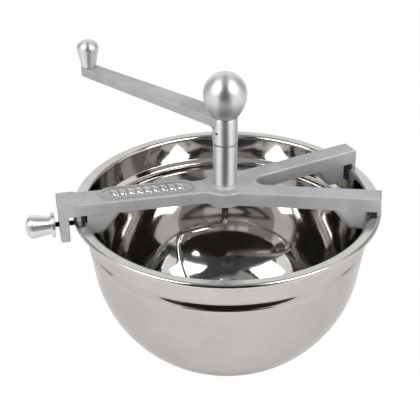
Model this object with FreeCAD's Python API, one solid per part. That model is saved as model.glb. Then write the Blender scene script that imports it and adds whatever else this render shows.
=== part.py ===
import FreeCAD, Part
import math
import os

# Hand-cranked bowl kneader: a deep steel bowl, a cast three-arm bridge that sits on the rim and
# is held by a thumb screw, and a crank that turns a bent rod inside the bowl.
# Millimetres, +Z up. The crank turns about Z, the bowl stands on Z = 0 and the clamp arm points to -X.

# Bowl: sizes along the inner face of the sheet, from the turned-down edge to the base
RIM_R = 140.0
SHEET = 1.0
EDGE_DROP = 0.8
EDGE_R = 2.6
FLANGE_FLAT = 5.0
NECK_R = 3.4
BAND_LENGTH = 21.0
CREASE_R = 1.0
LEDGE_ANGLE = 60.0
LEDGE_RUN = 3.97
BEAD_R = 2.6
SHOULDER_ANGLE = 40.0
SHOULDER_R = 8.0
WALL_TAPER = 8.65
WALL_LENGTH = 27.96
BELLY_R = 116.6
KNUCKLE_ANGLE = 30.0
KNUCKLE_R = 39.0
BOWL_SHIFT = 1.6

# Cast bridge
ARM_CLEAR = 3.4
ARM_HEIGHT = 13.6
CLAMP_HEIGHT = 11.6
ARM_EDGE_R = 2.0
HUB_R = 20.5
HUB_FLARE_R = 16.0
HUB_CORNER_R = 2.0
FORK_ANGLE = 17.0
FORK_OFFSET = 6.5
FORK_WIDTH = 17.5
FORK_INSET = 1.0
CROTCH_R = 9.0
CLAMP_WIDTH_HUB = 23.0
CLAMP_WIDTH_JAW = 25.0
BOSS_R = 10.8
BOSS_HEIGHT = 41.3
BOSS_FILLET_R = 3.0
FOOT_WIDTH = 3.6
FIN_DEPTH = 16.5
FIN_START = 96.3
FIN_FOOT = 113.0
FIN_CORNER_R = 6.0
FIN_ROUND_R = 5.0
SEAT_GAP = 0.3
PANEL_LENGTH = 85.0
PANEL_WIDTH = 19.6
PANEL_RISE = 1.6
PANEL_BORDER = 1.8
PANEL_FLOOR = 0.4
PANEL_HUB_GAP = 7.8
PANEL_SHIFT = 1.8

# Clamp jaw at the end of the clamp arm
JAW_GAP = 4.4
JAW_HEIGHT = 11.0
LUG_THICK = 9.2
LUG_TIP_THICK = 8.2
LUG_STEP = 0.4
LUG_REACH = 20.2
CHEEK_RISE = 1.5
CHEEK_TOP = 12.5
CHEEK_LEAN = 3.5
CHEEK_RUN = 4.0
CHEEK_FOOT_RUN = 8.0
LUG_TIP_NARROW = 1.5
LUG_EDGE_R = 1.3

# Clamp screw
STUD_D = 5.0
STUD_DROP = 7.6
STUD_FIT = 0.05
SHOE_D = 7.0
SHOE_LENGTH = 3.5
SHOE_NOSE = 1.2
SHOE_SOCKET = 2.0
KNOB_GAP = 3.2
KNOB_FLANGE_D = 23.0
KNOB_FLANGE_T = 3.2
KNOB_NECK_D = 16.0
KNOB_MAX_D = 22.4
KNOB_SHOULDER = 21.6
KNOB_CROWN_R = 6.0
KNOB_LENGTH = 26.1
KNOB_THREAD = 14.0

# Shaft, bushes and what holds the shaft in the boss
ROD_D = 6.0
RUN_FIT = 0.05
BUSH_WALL = 1.5
BUSH_LENGTH = 15.0
BUSH_FLANGE_W = 2.5
BUSH_FLANGE_T = 0.9
WASHER_W = 4.5
WASHER_T = 1.0
RING_T = 0.9
RING_W = 2.2
RING_GROOVE = 0.5
RING_MOUTH = 4.6
STACK_GAP = 0.2

# Kneading rod below the hub, in the plane of the crank arm
HOOK_DROP = 26.8
HOOK_SLOPE = 31.0
HOOK_NECK_BEND = 12.0
HOOK_REACH = 59.3
HOOK_BEND = 23.0
HOOK_FLOOR_GAP = 5.6
HOOK_SWEEP = 80.0

# Crank and palm knob
CRANK_ANGLE = 127.7
COLLAR_R = 11.2
COLLAR_HEIGHT = 25.4
COLLAR_CHAMFER = 1.0
CRANK_THROW = 172.0
CRANK_WIDTH_END = 15.0
CRANK_THICK = 8.6
CRANK_FALL = 2.2
CRANK_EDGE_R = 0.9
CRANK_FLARE_R = 6.5
PALM_NECK_R = 11.0
PALM_R = 19.2
PALM_CENTRE = 21.7
ROD_IN_PALM = 16.0
PIN_D = 3.0
PIN_RECESS = 1.2
PIN_HEIGHT = 11.5

# Crank handle, which turns on its own screw
HANDLE_BASE_R = 6.8
HANDLE_R = 10.8
HANDLE_SHOULDER = 22.1
HANDLE_CROWN_R = 6.5
HANDLE_HEIGHT = 26.8
HANDLE_GAP = 0.25
SCREW_SHANK_D = 6.0
SCREW_THREAD_D = 5.0
SCREW_THREAD_LENGTH = 15.0
SCREW_HEAD_D = 9.0
SCREW_HEAD_T = 2.0
HANDLE_WASHER_T = 0.8
HEAD_CLEAR = 0.3

ORIGIN = FreeCAD.Vector(0, 0, 0)
X_AXIS = FreeCAD.Vector(1, 0, 0)
Y_AXIS = FreeCAD.Vector(0, 1, 0)
Z_AXIS = FreeCAD.Vector(0, 0, 1)


def section(r, z):
    """Point of a profile in the XZ plane."""
    return FreeCAD.Vector(r, 0, z)


def polar(radius, degrees):
    """Step of a given length and direction in a profile."""
    angle = math.radians(degrees)
    return section(radius * math.cos(angle), radius * math.sin(angle))


def walk(start, heading, steps, inset):
    """Edges of a smooth profile: straight steps (length, 0) and bends (radius, turn in degrees).

    The line is moved to the left of its heading by inset, so two walks enclose a sheet.
    """
    edges = []
    here = start + polar(inset, heading + 90)
    for size, turn in steps:
        if turn == 0:
            there = here + polar(size, heading)
            edges.append(Part.makeLine(here, there))
        else:
            side = math.copysign(90, turn)
            radius = size - math.copysign(inset, turn)
            centre = here + polar(radius, heading + side)
            middle = centre + polar(radius, heading - side + turn / 2)
            there = centre + polar(radius, heading - side + turn)
            edges.append(Part.Arc(here, middle, there).toShape())
            heading += turn
        here = there
    return edges


def bowl_steps():
    """Inner face of the bowl from the turned-down edge to the start of the flat base."""
    return [
        (EDGE_DROP, 0),
        (EDGE_R, 90),
        (FLANGE_FLAT, 0),
        (NECK_R, 90),
        (BAND_LENGTH, 0),
        (CREASE_R, -LEDGE_ANGLE),
        (LEDGE_RUN, 0),
        (BEAD_R, LEDGE_ANGLE + SHOULDER_ANGLE),
        (SHOULDER_R, -SHOULDER_ANGLE - WALL_TAPER),
        (WALL_LENGTH, 0),
        (BELLY_R, WALL_TAPER + KNUCKLE_ANGLE - 90),
        (KNUCKLE_R, -KNUCKLE_ANGLE),
    ]


def end_of(edges):
    """Last point of a walk."""
    return edges[-1].Vertexes[-1].Point


BAND_IN_R = RIM_R - EDGE_R - FLANGE_FLAT - NECK_R
BAND_OUT_R = BAND_IN_R + SHEET
EDGE_TO_BASE = -end_of(walk(section(RIM_R, 0), 90, bowl_steps(), 0)).z
EDGE_Z = EDGE_TO_BASE + SHEET
RIM_Z = EDGE_Z + EDGE_DROP + EDGE_R
ARM_BOTTOM = RIM_Z + ARM_CLEAR
ARM_TOP = ARM_BOTTOM + ARM_HEIGHT
SEAT_R = BAND_IN_R - BOWL_SHIFT - SEAT_GAP
FORK_END_R = RIM_R + BOWL_SHIFT - FORK_INSET
ROD_R = ROD_D / 2
BUSH_R = ROD_R + RUN_FIT + BUSH_WALL
BOSS_TOP = ARM_TOP + BOSS_HEIGHT
COLLAR_Z = BOSS_TOP + BUSH_FLANGE_T + STACK_GAP
CRANK_TOP = COLLAR_Z + COLLAR_HEIGHT
CRANK_END_TOP = CRANK_TOP - CRANK_FALL
CRANK_END_LOW = CRANK_END_TOP - CRANK_THICK
HEAD_RECESS = HANDLE_GAP + HANDLE_WASHER_T + SCREW_HEAD_T
PALM_Z = CRANK_TOP + PALM_CENTRE
ROD_TOP = CRANK_TOP + ROD_IN_PALM
WASHER_Z = ARM_BOTTOM - BUSH_FLANGE_T - STACK_GAP - WASHER_T
RING_Z = WASHER_Z - RING_T
STUD_Z = RIM_Z - STUD_DROP
JAW_IN_X = BOWL_SHIFT - RIM_R - JAW_GAP
JAW_OUT_X = JAW_IN_X - LUG_THICK
LUG_TOP_WIDTH = CLAMP_WIDTH_JAW + 2 * CHEEK_RISE


def revolved(edges):
    """Solid turned about Z from a closed profile in the XZ plane."""
    return Part.Face(Part.Wire(edges)).revolve(ORIGIN, Z_AXIS, 360)


def turned(points):
    """Solid turned about Z from the corners (r, z) of a closed profile."""
    corners = [section(r, z) for r, z in points]
    return Part.Face(Part.makePolygon(corners + corners[:1])).revolve(ORIGIN, Z_AXIS, 360)


def tube(inner_r, outer_r, bottom, top):
    """Plain ring or sleeve about Z."""
    return turned([(inner_r, bottom), (outer_r, bottom), (outer_r, top), (inner_r, top)])


def bar(radius, start, end):
    """Round bar between two points."""
    return Part.makeCylinder(radius, (end - start).Length, start, end - start)


def rounded_path(points, radii):
    """Edges along a polyline whose inner corners are rounded; a radius of 0 stays sharp."""
    edges = []
    here = points[0]
    for before, corner, after, radius in zip(points, points[1:], points[2:], radii):
        into = (before - corner).normalize()
        out = (after - corner).normalize()
        if radius == 0:
            edges.append(Part.makeLine(here, corner))
            here = corner
            continue
        half = into.getAngle(out) / 2
        reach = radius / math.tan(half)
        start = corner + into * reach
        end = corner + out * reach
        bisector = (into + out).normalize()
        middle = corner + bisector * (radius / math.sin(half) - radius)
        edges.append(Part.makeLine(here, start))
        edges.append(Part.Arc(start, middle, end).toShape())
        here = end
    edges.append(Part.makeLine(here, points[-1]))
    return edges


def domed(side, top, edge_r):
    """Turned grip: corners (r, z) of its side from the base up, then a dome with a rounded edge."""
    r, z = side[-1]
    rise = top - z
    centre = top - (r * r + rise * rise) / (2 * rise)
    angle = math.atan2(z - centre, r)
    bend = section(0, centre) + polar(top - centre, math.degrees(angle + math.pi / 2) / 2)
    corners = [section(0, top), section(0, side[0][1])] + [section(*corner) for corner in side]
    edges = Part.makePolygon(corners).Edges
    edges.append(Part.Arc(corners[-1], bend, corners[0]).toShape())
    grip = revolved(edges)
    shoulder = section(r, z)
    return grip.makeFillet(edge_r, edges_where(grip, lambda p: p.isEqual(shoulder, 0.01)))


def edges_where(shape, test):
    """Edges whose two ends both pass the test."""
    return [edge for edge in shape.Edges if all(test(vertex.Point) for vertex in edge.Vertexes)]


def spun(shape, degrees):
    """Copy turned about Z."""
    copy = shape.copy()
    copy.rotate(ORIGIN, Z_AXIS, degrees)
    return copy


def mirrored(shape):
    """Copy on the other side of the XZ plane."""
    return shape.mirror(ORIGIN, Y_AXIS)


def bowl():
    """One spun sheet: flanged rim, straight band, groove, tapering wall and flat base."""
    start = section(RIM_R, EDGE_Z)
    inside = walk(start, 90, bowl_steps(), 0)
    outside = walk(start, 90, bowl_steps(), SHEET)
    floor_in = end_of(inside)
    floor_out = end_of(outside)
    edges = inside
    edges.append(Part.makeLine(floor_in, section(0, floor_in.z)))
    edges.append(Part.makeLine(section(0, floor_in.z), section(0, floor_out.z)))
    edges.append(Part.makeLine(section(0, floor_out.z), floor_out))
    edges.append(Part.makeLine(start, start - section(SHEET, 0)))
    shape = revolved(Part.__sortEdges__(edges + outside))
    shape.translate(X_AXIS * BOWL_SHIFT)
    return shape


def fork_point(u, v, side):
    """Point along and across one fork arm; side is 1 or -1."""
    angle = math.radians(FORK_ANGLE)
    x = u * math.cos(angle) - v * math.sin(angle)
    y = u * math.sin(angle) + v * math.cos(angle)
    return FreeCAD.Vector(x, side * y, ARM_BOTTOM)


def fork():
    """Two arms that leave the hub side by side and spread, with a round crotch between them."""
    outer = FORK_OFFSET + FORK_WIDTH / 2
    inner = FORK_OFFSET - FORK_WIDTH / 2
    reach = FORK_END_R + FORK_WIDTH
    crotch_x = (CROTCH_R - inner) / math.sin(math.radians(FORK_ANGLE))
    tangent = crotch_x * math.cos(math.radians(FORK_ANGLE))
    edge = [(tangent, inner), (reach, inner), (reach, outer), (0, outer)]
    corners = [fork_point(u, v, 1) for u, v in edge]
    corners += [fork_point(u, v, -1) for u, v in reversed(edge)]
    crotch = FreeCAD.Vector(crotch_x - CROTCH_R, 0, ARM_BOTTOM)
    arc = Part.Arc(corners[-1], crotch, corners[0]).toShape()
    outline = Part.Wire(Part.makePolygon(corners).Edges + [arc])
    end = Part.makeCylinder(FORK_END_R, ARM_TOP, ORIGIN)
    return Part.Face(outline).extrude(Z_AXIS * ARM_HEIGHT).common(end)


def clamp_arm():
    """Broad arm towards the clamp."""
    near = CLAMP_WIDTH_HUB / 2
    far = CLAMP_WIDTH_JAW / 2
    corners = [(0, near), (JAW_IN_X, far), (JAW_IN_X, -far), (0, -near), (0, near)]
    outline = Part.makePolygon([FreeCAD.Vector(x, y, ARM_BOTTOM) for x, y in corners])
    return Part.Face(outline).extrude(Z_AXIS * ARM_HEIGHT)


def spider():
    """Hub and the three arms with their flares and rounded top edges."""
    hub = Part.makeCylinder(HUB_R, ARM_HEIGHT, section(0, ARM_BOTTOM))
    shape = hub.fuse([fork(), clamp_arm()]).removeSplitter()

    def on_hub(point):
        return abs(math.hypot(point.x, point.y) - HUB_R) < 0.01

    shape = shape.makeFillet(HUB_FLARE_R, edges_where(shape, lambda p: on_hub(p) and p.x < 0))
    fork_side = edges_where(shape, lambda p: on_hub(p) and p.x > 0)
    upright = [edge for edge in fork_side if abs(edge.tangentAt(0).z) > 0.9]
    shape = shape.makeFillet(HUB_CORNER_R, upright)
    shape = shape.makeFillet(ARM_EDGE_R, edges_where(shape, lambda p: abs(p.z - ARM_TOP) < 0.01))
    width = 4 * HUB_R
    corner = FreeCAD.Vector(-RIM_R - HUB_R / 2, -width / 2, ARM_BOTTOM)
    under = Part.makeBox(RIM_R, width, ARM_HEIGHT - CLAMP_HEIGHT, corner)
    return shape.cut(under.cut(hub))


def fin(width):
    """Keel under an arm that reaches down inside the bowl, along +X."""
    top = ARM_TOP - CLAMP_HEIGHT / 2
    bottom = RIM_Z - FIN_DEPTH
    lean = (FIN_FOOT - FIN_START) * (top - ARM_BOTTOM) / (ARM_BOTTOM - bottom)
    corners = [
        section(FIN_START - lean, top),
        section(FIN_FOOT, bottom),
        section(RIM_R, bottom),
        section(RIM_R, top),
        section(FIN_START - lean, top),
    ]
    outline = Part.Wire(rounded_path(corners, [FIN_CORNER_R, 0, 0]))
    plate = Part.Face(outline).extrude(Y_AXIS * width)
    plate.translate(Y_AXIS * (-width / 2))

    def on_keel(edge):
        middle = edge.CenterOfMass
        return abs(middle.y) > width / 2 - 0.01 and middle.x < RIM_R - 0.01 and middle.z < top - 0.01

    return plate.makeFillet(FIN_ROUND_R, [edge for edge in plate.Edges if on_keel(edge)])


def foot(width, reach):
    """Ridge under an arm that stands on the rim's flange; reach is its outer face."""
    height = ARM_TOP - CLAMP_HEIGHT / 2 - RIM_Z
    return Part.makeBox(FOOT_WIDTH, width, height, FreeCAD.Vector(reach - FOOT_WIDTH, -width / 2, RIM_Z))


def prism(corners, y):
    """Closed wire at one y from corners (x, z)."""
    points = [FreeCAD.Vector(x, y, z) for x, z in corners]
    return Part.makePolygon(points + points[:1])


def jaw():
    """Head of the clamp arm: a broad block with slanted cheeks, and the lug that carries the screw."""
    half = CLAMP_WIDTH_JAW / 2
    wide = LUG_TOP_WIDTH / 2
    top = ARM_TOP
    low = ARM_TOP - JAW_HEIGHT
    cheek = JAW_OUT_X + CHEEK_TOP
    cheek_low = cheek + CHEEK_LEAN
    outer = [(JAW_OUT_X, top), (cheek, top), (cheek_low, low), (JAW_OUT_X, low)]
    inner = [(JAW_OUT_X, top), (cheek + CHEEK_RUN, top), (cheek_low + CHEEK_FOOT_RUN, low), (JAW_OUT_X, low)]
    wires = [prism(outer, -wide), prism(inner, -half), prism(inner, half), prism(outer, wide)]
    block = Part.makeLoft(wires, True, True)
    root_z = (top + low) / 2
    levels = []
    for x, half_width, z in (
        (JAW_OUT_X + LUG_STEP, wide - LUG_STEP, root_z),
        (JAW_IN_X - LUG_TIP_THICK, wide - LUG_TIP_NARROW, RIM_Z - LUG_REACH),
    ):
        corners = [(x, -half_width), (JAW_IN_X, -half_width), (JAW_IN_X, half_width), (x, half_width)]
        points = [FreeCAD.Vector(x, y, z) for x, y in corners]
        levels.append(Part.makePolygon(points + points[:1]))
    lug = Part.makeLoft(levels, True, True)
    lug = lug.makeFillet(LUG_EDGE_R, [edge for edge in lug.Edges if edge.CenterOfMass.z < root_z - 0.01])

    def on_crown(edge):
        middle = edge.CenterOfMass
        across = middle.x < JAW_OUT_X + 0.01 and middle.z > top - 0.01
        side = abs(middle.y) > wide - 0.01 and middle.z > low + 0.01
        return across or side and middle.x < cheek - 0.01

    return block.makeFillet(LUG_EDGE_R, [edge for edge in block.Edges if on_crown(edge)]).fuse(lug)


def name_panel():
    """Raised oblong frame on the clamp arm, left bare inside."""
    start_x = -HUB_R - PANEL_HUB_GAP
    base = ARM_TOP - ARM_EDGE_R
    frame = oblong(start_x, PANEL_LENGTH, PANEL_WIDTH / 2, base, ARM_TOP + PANEL_RISE)
    inside = oblong(
        start_x - PANEL_BORDER,
        PANEL_LENGTH - 2 * PANEL_BORDER,
        PANEL_WIDTH / 2 - PANEL_BORDER,
        ARM_TOP + PANEL_FLOOR,
        ARM_TOP + 2 * PANEL_RISE,
    )
    panel = frame.cut(inside)
    panel.translate(Y_AXIS * PANEL_SHIFT)
    return panel


def oblong(start_x, length, radius, bottom, top):
    """Upright prism with round ends that runs from start_x towards -X."""
    near = start_x - radius
    far = start_x - length + radius
    plan = [(near, radius), (far, radius), (far, -radius), (near, -radius)]
    corners = [FreeCAD.Vector(x, y, bottom) for x, y in plan]
    left = FreeCAD.Vector(start_x - length, 0, bottom)
    right = FreeCAD.Vector(start_x, 0, bottom)
    edges = [
        Part.makeLine(corners[0], corners[1]),
        Part.Arc(corners[1], left, corners[2]).toShape(),
        Part.makeLine(corners[2], corners[3]),
        Part.Arc(corners[3], right, corners[0]).toShape(),
    ]
    return Part.Face(Part.Wire(edges)).extrude(Z_AXIS * (top - bottom))


def boss():
    """Tall turned sleeve above the hub with a fillet at its foot."""
    foot_r = BOSS_R + BOSS_FILLET_R
    low = ARM_BOTTOM
    inset = BOSS_FILLET_R * (1 - math.sqrt(0.5))
    bend = section(BOSS_R + inset, ARM_TOP + inset)
    corners = [section(BOSS_R, BOSS_TOP), section(0, BOSS_TOP), section(0, low), section(foot_r, low)]
    corners.append(section(foot_r, ARM_TOP))
    edges = Part.makePolygon(corners).Edges
    edges.append(Part.Arc(corners[-1], bend, section(BOSS_R, ARM_TOP + BOSS_FILLET_R)).toShape())
    edges.append(Part.makeLine(section(BOSS_R, ARM_TOP + BOSS_FILLET_R), corners[0]))
    return revolved(edges)


def bridge_frame():
    """Casting that carries the crank: hub, boss, three arms with their fins and feet, and the jaw."""
    seat = Part.makeCylinder(SEAT_R, 2 * RIM_Z)
    fork_fin = fin(FORK_WIDTH)
    fork_fin.translate(Y_AXIS * FORK_OFFSET)
    fork_fin = spun(fork_fin, FORK_ANGLE).common(seat)
    fork_foot = foot(FORK_WIDTH, FORK_END_R)
    fork_foot.translate(Y_AXIS * FORK_OFFSET)
    end = Part.makeCylinder(FORK_END_R, 2 * RIM_Z)
    fork_foot = spun(fork_foot, FORK_ANGLE).common(end)
    clamp_fin = spun(fin(CLAMP_WIDTH_HUB), 180).common(seat)
    clamp_foot = spun(foot(CLAMP_WIDTH_HUB, RIM_R - EDGE_R - BOWL_SHIFT), 180)
    pads = [fork_fin, mirrored(fork_fin), fork_foot, mirrored(fork_foot), clamp_fin, clamp_foot]
    casting = spider().fuse(pads + [jaw(), boss(), name_panel()])
    shaft_bore = Part.makeCylinder(BUSH_R + RUN_FIT, BOSS_TOP, section(0, ARM_BOTTOM))
    screw_bore = bar(STUD_D / 2 + STUD_FIT, section(JAW_OUT_X, STUD_Z), section(JAW_IN_X, STUD_Z))
    return casting.cut([shaft_bore, screw_bore]).removeSplitter()


def bush(seat_z, direction):
    """Flanged sleeve pressed into the boss; direction is +1 where its flange faces up."""
    inner = ROD_R + RUN_FIT
    flange = seat_z + direction * BUSH_FLANGE_T
    end = seat_z - direction * BUSH_LENGTH
    flange_r = BUSH_R + BUSH_FLANGE_W
    head = [(inner, flange), (flange_r, flange), (flange_r, seat_z)]
    return turned(head + [(BUSH_R, seat_z), (BUSH_R, end), (inner, end)])


def upper_bush():
    """Bush at the top of the boss; the crank's collar turns on its flange."""
    return bush(BOSS_TOP, 1)


def lower_bush():
    """Bush at the underside of the hub."""
    return bush(ARM_BOTTOM, -1)


def thrust_washer():
    """Washer between the lower bush and the retaining ring."""
    return tube(ROD_R + RUN_FIT, ROD_R + WASHER_W, WASHER_Z, WASHER_Z + WASHER_T)


def retaining_ring():
    """Open clip that sits in a groove of the shaft."""
    neck = ROD_R - RING_GROOVE + RUN_FIT
    ring = tube(neck, ROD_R + RING_W, RING_Z, RING_Z + RING_T)
    mouth = Part.makeBox(2 * ROD_D, RING_MOUTH, RING_T, FreeCAD.Vector(0, -RING_MOUTH / 2, RING_Z))
    return spun(ring.cut(mouth), CRANK_ANGLE)


def kneading_rod():
    """Shaft and hook, one bent rod: out and down from the hub, then a wide sweep back along the bowl."""
    slope = math.radians(HOOK_SLOPE)
    turn = 90 - HOOK_SLOPE
    corner = HOOK_NECK_BEND * math.tan(math.radians(turn / 2))
    shoulder = (HOOK_REACH - HOOK_BEND + HOOK_BEND * math.sin(slope)) / math.cos(slope)
    neck_z = ARM_BOTTOM - HOOK_DROP
    bend_z = neck_z - shoulder * math.sin(slope) - HOOK_BEND * math.cos(slope)
    sweep_r = bend_z - SHEET - HOOK_FLOOR_GAP - ROD_R
    steps = [
        (ROD_TOP - neck_z - corner, 0),
        (HOOK_NECK_BEND, turn),
        (shoulder - corner, 0),
        (HOOK_BEND, -turn),
        (sweep_r, -HOOK_SWEEP),
    ]
    route = Part.Wire(walk(section(0, ROD_TOP), -90, steps, 0))
    profile = Part.Wire(Part.makeCircle(ROD_R, section(0, ROD_TOP), Z_AXIS))
    rod = route.makePipeShell([profile], True, False)
    groove = tube(ROD_R - RING_GROOVE, ROD_D, RING_Z, RING_Z + RING_T)
    rod = spun(rod, CRANK_ANGLE).cut(groove)
    return rod.cut(pin_hole())


def across_collar(radius, end):
    """Round bar across the collar, square to the crank arm."""
    pin_z = COLLAR_Z + PIN_HEIGHT
    return spun(bar(radius, FreeCAD.Vector(0, -end, pin_z), FreeCAD.Vector(0, end, pin_z)), CRANK_ANGLE)


def pin_hole():
    """Bore for the cross pin through collar and shaft."""
    return across_collar(PIN_D / 2 + RUN_FIT, 2 * COLLAR_R)


def cross_pin():
    """Pin that locks the crank to the shaft."""
    return across_collar(PIN_D / 2, COLLAR_R - PIN_RECESS)


def crank_arm():
    """Collar on the shaft and the tapering arm to the handle, one casting."""
    collar = turned([
        (0, COLLAR_Z),
        (COLLAR_R - COLLAR_CHAMFER, COLLAR_Z),
        (COLLAR_R, COLLAR_Z + COLLAR_CHAMFER),
        (COLLAR_R, CRANK_TOP - COLLAR_CHAMFER),
        (COLLAR_R - COLLAR_CHAMFER, CRANK_TOP),
        (0, CRANK_TOP),
    ])
    end_r = CRANK_WIDTH_END / 2
    corners = [(0, COLLAR_R), (0, -COLLAR_R), (CRANK_THROW, -end_r), (CRANK_THROW, end_r)]
    points = [FreeCAD.Vector(x, y, CRANK_TOP - CRANK_THICK) for x, y in corners]
    arc = Part.Arc(points[2], section(CRANK_THROW + end_r, CRANK_TOP - CRANK_THICK), points[3]).toShape()
    outline = Part.Wire(Part.makePolygon(points[:3]).Edges + [arc, Part.makeLine(points[3], points[0])])
    arm = Part.Face(outline).extrude(Z_AXIS * CRANK_THICK)

    def on_rim(edge):
        return edge.CenterOfMass.x > 1 and abs(edge.tangentAt(edge.FirstParameter).z) < 0.5

    rims = [edge for edge in arm.Edges if on_rim(edge)]
    arm = arm.makeFillet(CRANK_EDGE_R, rims).fuse(crank_flare())
    arm.rotate(section(0, CRANK_TOP), Y_AXIS, math.degrees(math.asin(CRANK_FALL / CRANK_THROW)))
    shank_r = SCREW_SHANK_D / 2 + RUN_FIT
    bores = [
        Part.makeCylinder(ROD_R + RUN_FIT, 2 * COLLAR_HEIGHT, section(0, COLLAR_Z)),
        Part.makeCylinder(shank_r, 2 * COLLAR_HEIGHT, section(CRANK_THROW, COLLAR_Z)),
        Part.makeCylinder(SCREW_HEAD_D / 2 + HEAD_CLEAR, HEAD_RECESS, section(CRANK_THROW, CRANK_END_LOW)),
    ]
    return spun(collar.fuse(arm).cut(bores), CRANK_ANGLE).cut(pin_hole())


def crank_flare():
    """Hollow curve between the underside of the crank arm and its collar."""
    low = CRANK_TOP - CRANK_THICK
    edge_r = COLLAR_R + CRANK_FLARE_R
    inset = CRANK_FLARE_R * (1 - math.sqrt(0.5))
    corners = [
        section(COLLAR_R, low - CRANK_FLARE_R),
        section(0, low - CRANK_FLARE_R),
        section(0, CRANK_TOP - CRANK_THICK / 2),
        section(edge_r, CRANK_TOP - CRANK_THICK / 2),
        section(edge_r, low),
    ]
    edges = Part.makePolygon(corners).Edges
    edges.append(Part.Arc(corners[-1], section(COLLAR_R + inset, low - inset), corners[0]).toShape())
    width = CRANK_WIDTH_END
    limit = Part.makeBox(2 * edge_r, width, 2 * COLLAR_HEIGHT, FreeCAD.Vector(0, -width / 2, COLLAR_Z))
    return revolved(edges).common(limit)


def palm_knob():
    """Egg-shaped knob, screwed to the top of the shaft."""
    drop = PALM_R - PALM_NECK_R
    flank_r = (PALM_CENTRE ** 2 + drop ** 2) / (2 * drop)
    half = math.degrees(math.asin(PALM_CENTRE / flank_r)) / 2
    neck = section(PALM_NECK_R, CRANK_TOP)
    side = section(PALM_R, PALM_Z)
    crown = section(0, PALM_Z + PALM_R)
    edges = Part.makePolygon([crown, section(0, CRANK_TOP), neck]).Edges
    edges.append(Part.Arc(neck, section(PALM_R - flank_r, PALM_Z) + polar(flank_r, -half), side).toShape())
    edges.append(Part.Arc(side, section(0, PALM_Z) + polar(PALM_R, 45), crown).toShape())
    bore = Part.makeCylinder(ROD_R + RUN_FIT, ROD_IN_PALM, section(0, CRANK_TOP))
    return revolved(edges).cut(bore)


def crank_handle():
    """Pear-shaped grip, narrow at the arm."""
    base = CRANK_END_TOP + HANDLE_GAP
    side = [(HANDLE_BASE_R, base), (HANDLE_R, CRANK_END_TOP + HANDLE_SHOULDER)]
    grip = domed(side, CRANK_END_TOP + HANDLE_HEIGHT, HANDLE_CROWN_R)
    bore = Part.makeCylinder(SCREW_THREAD_D / 2 + RUN_FIT, SCREW_THREAD_LENGTH, section(0, base))
    return on_crank_end(grip.cut(bore))


def on_crank_end(shape):
    """Copy moved from the Z axis to the end of the crank arm."""
    copy = shape.copy()
    copy.translate(X_AXIS * CRANK_THROW)
    return spun(copy, CRANK_ANGLE)


def handle_screw():
    """Shoulder screw from below: sunk head, bearing shank in the arm, thread in the grip."""
    base = CRANK_END_TOP + HANDLE_GAP
    head_top = CRANK_END_LOW + SCREW_HEAD_T
    head = Part.makeCylinder(SCREW_HEAD_D / 2, SCREW_HEAD_T, section(0, CRANK_END_LOW))
    shank = Part.makeCylinder(SCREW_SHANK_D / 2, base - head_top, section(0, head_top))
    thread = Part.makeCylinder(SCREW_THREAD_D / 2, SCREW_THREAD_LENGTH, section(0, base))
    return on_crank_end(head.fuse([shank, thread]).removeSplitter())


def handle_washer():
    """Washer between the crank arm and the screw's head, in the same recess."""
    low = CRANK_END_LOW + SCREW_HEAD_T
    return on_crank_end(tube(SCREW_SHANK_D / 2 + RUN_FIT, SCREW_HEAD_D / 2, low, low + HANDLE_WASHER_T))


def on_stud_axis(shape, x):
    """Copy turned from +Z to -X and moved to a place on the clamp screw's axis."""
    copy = shape.copy()
    copy.rotate(ORIGIN, Y_AXIS, -90)
    copy.translate(section(x, STUD_Z))
    return copy


def knob_x():
    """Inner face of the thumb knob when the clamp is tight."""
    return JAW_OUT_X - KNOB_GAP


def shoe_x():
    """Face of the pressure shoe against the outside of the bowl when the clamp is tight."""
    return BOWL_SHIFT - BAND_OUT_R - SEAT_GAP


def clamp_shoe():
    """Small swivel cap on the screw's tip, with a tapered nose that bears on the bowl below its rim."""
    nose = SHOE_D / 2 - SHOE_NOSE
    shoe = turned([(0, 0), (nose, 0), (SHOE_D / 2, SHOE_NOSE), (SHOE_D / 2, SHOE_LENGTH), (0, SHOE_LENGTH)])
    socket = Part.makeCylinder(STUD_D / 2 + STUD_FIT, SHOE_SOCKET, section(0, SHOE_LENGTH - SHOE_SOCKET))
    return on_stud_axis(shoe.cut(socket), shoe_x())


def clamp_stud():
    """Black screw between the shoe and the thumb knob."""
    start = shoe_x() - (SHOE_LENGTH - SHOE_SOCKET) - STUD_FIT
    end = knob_x() - KNOB_THREAD
    return bar(STUD_D / 2, section(start, STUD_Z), section(end, STUD_Z))


def clamp_knob():
    """Turned thumb knob: flange, neck and rounded grip."""
    side = [
        (KNOB_FLANGE_D / 2, 0),
        (KNOB_FLANGE_D / 2, KNOB_FLANGE_T),
        (KNOB_NECK_D / 2, KNOB_FLANGE_T),
        (KNOB_MAX_D / 2, KNOB_SHOULDER),
    ]
    grip = domed(side, KNOB_LENGTH, KNOB_CROWN_R)
    bore = Part.makeCylinder(STUD_D / 2 + STUD_FIT, KNOB_THREAD)
    return on_stud_axis(grip.cut(bore), knob_x())


PIECES = [
    bowl,
    bridge_frame,
    upper_bush,
    lower_bush,
    thrust_washer,
    retaining_ring,
    kneading_rod,
    crank_arm,
    cross_pin,
    palm_knob,
    crank_handle,
    handle_screw,
    handle_washer,
    clamp_shoe,
    clamp_stud,
    clamp_knob,
]

os.makedirs("parts", exist_ok=True)
for piece in PIECES:
    shape = piece()
    shape.exportStep("parts/" + piece.__name__ + ".step")
    print(piece.__name__, "solids", len(shape.Solids), "valid", shape.isValid(), round(shape.Volume), "mm3")
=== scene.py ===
"""Looks of a hand-cranked bowl kneader: smooth surfaces, metal finishes, threads, studio and camera."""
import logging
import math
from dataclasses import dataclass
from enum import Enum
from typing import ClassVar

import bmesh
import bpy
from bmesh.types import BMesh, BMVert
from bpy.types import Material, Node, NodeSocket, Object, World
from mathutils import Matrix, Vector


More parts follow.
